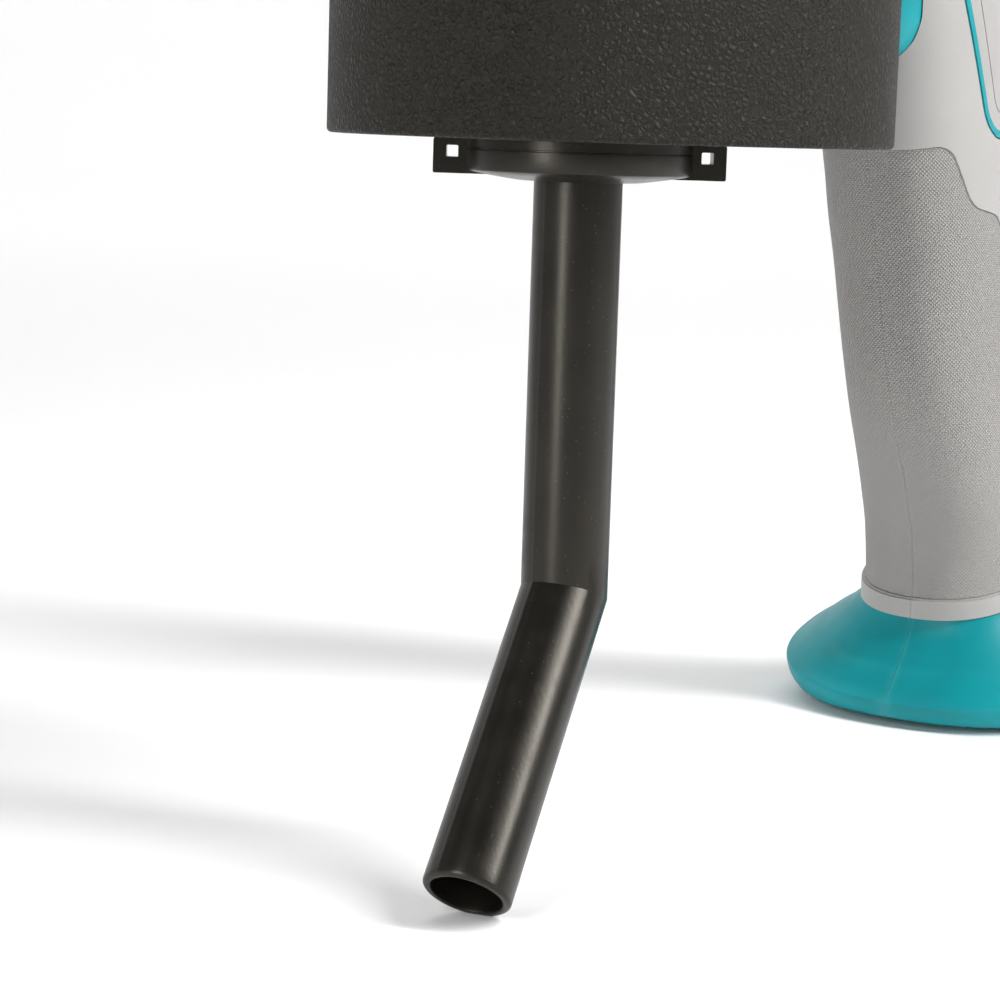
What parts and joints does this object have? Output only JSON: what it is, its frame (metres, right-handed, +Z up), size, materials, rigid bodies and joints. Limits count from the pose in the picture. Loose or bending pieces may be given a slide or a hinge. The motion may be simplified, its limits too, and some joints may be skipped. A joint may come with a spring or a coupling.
{
  "type": "leaf blower",
  "caption": "Compact cordless leaf blower: pistol grip with a flared teal foot, motor dome, black grained fan drum and a bent nozzle tube in a snap collar.",
  "frame": {"origin": "centre of the flat foot's underside, on the plane the foot stands on", "axes": "+X forward from the grip to the fan drum, +Y to the tool's left, +Z up along the drum's axis"},
  "size_m": [0.2815, 0.1252, 0.3026],
  "materials": {
    "shell_grey": "fine satin grain",
    "panel_grey": "smooth satin",
    "pad_grey": "fine diamond micro-texture",
    "teal_plastic": "satin-gloss moulded",
    "black_plastic": "semi-gloss moulded",
    "black_grained": "leather grain",
    "inner_plastic": "smooth",
    "seal_rubber": "matt",
    "steel": "zinc plated",
    "brass": "bright",
    "cell_wrap": "shrink wrap",
    "board_green": "solder mask",
    "lens_clear": "clear tinted"
  },
  "bodies": {
    "housing": {"body_shell_left": "shell_grey", "body_shell_right": "shell_grey", "grip_pad_left": "pad_grey", "grip_pad_right": "pad_grey", "side_panel_left": "panel_grey", "side_panel_right": "panel_grey", "side_trim_left": "teal_plastic", "side_trim_right": "teal_plastic", "foot_left": "teal_plastic", "foot_right": "teal_plastic", "contact_receiver": "inner_plastic", "trigger_pin": "steel", "trigger_spring": "steel", "switch_module": "black_plastic", "boost_switch": "black_plastic", "controller_board": "board_green", "charge_lens": "lens_clear", "drum_shell": "black_grained", "drum_cover": "black_plastic", "motor_mount": "inner_plastic", "motor_can": "steel", "bearing_lower": "steel", "bearing_upper": "steel", "diffuser": "black_plastic", "intake_grille": "black_plastic", "body_screw_1": "steel", "body_screw_2": "steel", "body_screw_3": "steel", "body_screw_4": "steel", "body_screw_5": "steel", "drum_screw_1": "steel", "drum_screw_2": "steel", "drum_screw_3": "steel"},
    "battery": {"battery_base": "black_plastic", "battery_case": "black_plastic", "cell_lower": "cell_wrap", "cell_upper": "cell_wrap", "battery_contacts": "brass"},
    "trigger": {"trigger": "teal_plastic"},
    "boost": {"boost_button": "teal_plastic", "boost_spring": "steel"},
    "dial": {"speed_dial": "black_plastic"},
    "rotor": {"motor_armature": "brass", "impeller": "inner_plastic", "impeller_nut": "brass"},
    "latch_left": {"latch_button_left": "black_plastic", "latch_spring_left": "steel"},
    "latch_right": {"latch_button_right": "black_plastic", "latch_spring_right": "steel"},
    "collar": {"nozzle_collar": "black_plastic", "outlet_seal": "seal_rubber"},
    "nozzle": {"nozzle_tube": "black_plastic"}
  },
  "joints": [
    {"name": "trigger_pull", "type": "hinge", "parent": "housing", "child": "trigger", "pos_m": [0.08, 0, 0.213], "axis": [0, 1, 0], "range_deg": [0, 9], "stiffness_Nm_per_rad": 0.2, "springref_deg": -5.73},
    {"name": "boost_press", "type": "slide", "parent": "housing", "child": "boost", "axis": [1, 0, 0], "range_m": [0, 0.0025], "stiffness_N_per_m": 400, "springref_m": -0.002},
    {"name": "latch_left_press", "type": "slide", "parent": "housing", "child": "latch_left", "axis": [0, -1, 0], "range_m": [0, 0.0025], "stiffness_N_per_m": 400, "springref_m": -0.002},
    {"name": "latch_right_press", "type": "slide", "parent": "housing", "child": "latch_right", "axis": [0, 1, 0], "range_m": [0, 0.0025], "stiffness_N_per_m": 400, "springref_m": -0.002},
    {"name": "dial_turn", "type": "hinge", "parent": "housing", "child": "dial", "pos_m": [0.07, 0, 0.262], "axis": [0, 1, 0], "range_deg": [-130, 130]},
    {"name": "fan_spin", "type": "hinge", "parent": "housing", "child": "rotor", "pos_m": [0.184, 0, 0.23], "axis": [0, 0, 1], "continuous": true},
    {"name": "collar_release", "type": "slide", "parent": "housing", "child": "collar", "axis": [0, 0, -1], "range_m": [0, 0.02]},
    {"name": "nozzle_turn", "type": "hinge", "parent": "collar", "child": "nozzle", "pos_m": [0.195, 0, 0.143], "axis": [0, 0, 1], "continuous": true},
    {"name": "battery_slide", "type": "slide", "parent": "housing", "child": "battery", "axis": [-0.299, 0, -0.9542], "range_m": [0, 0.09]}
  ]
}
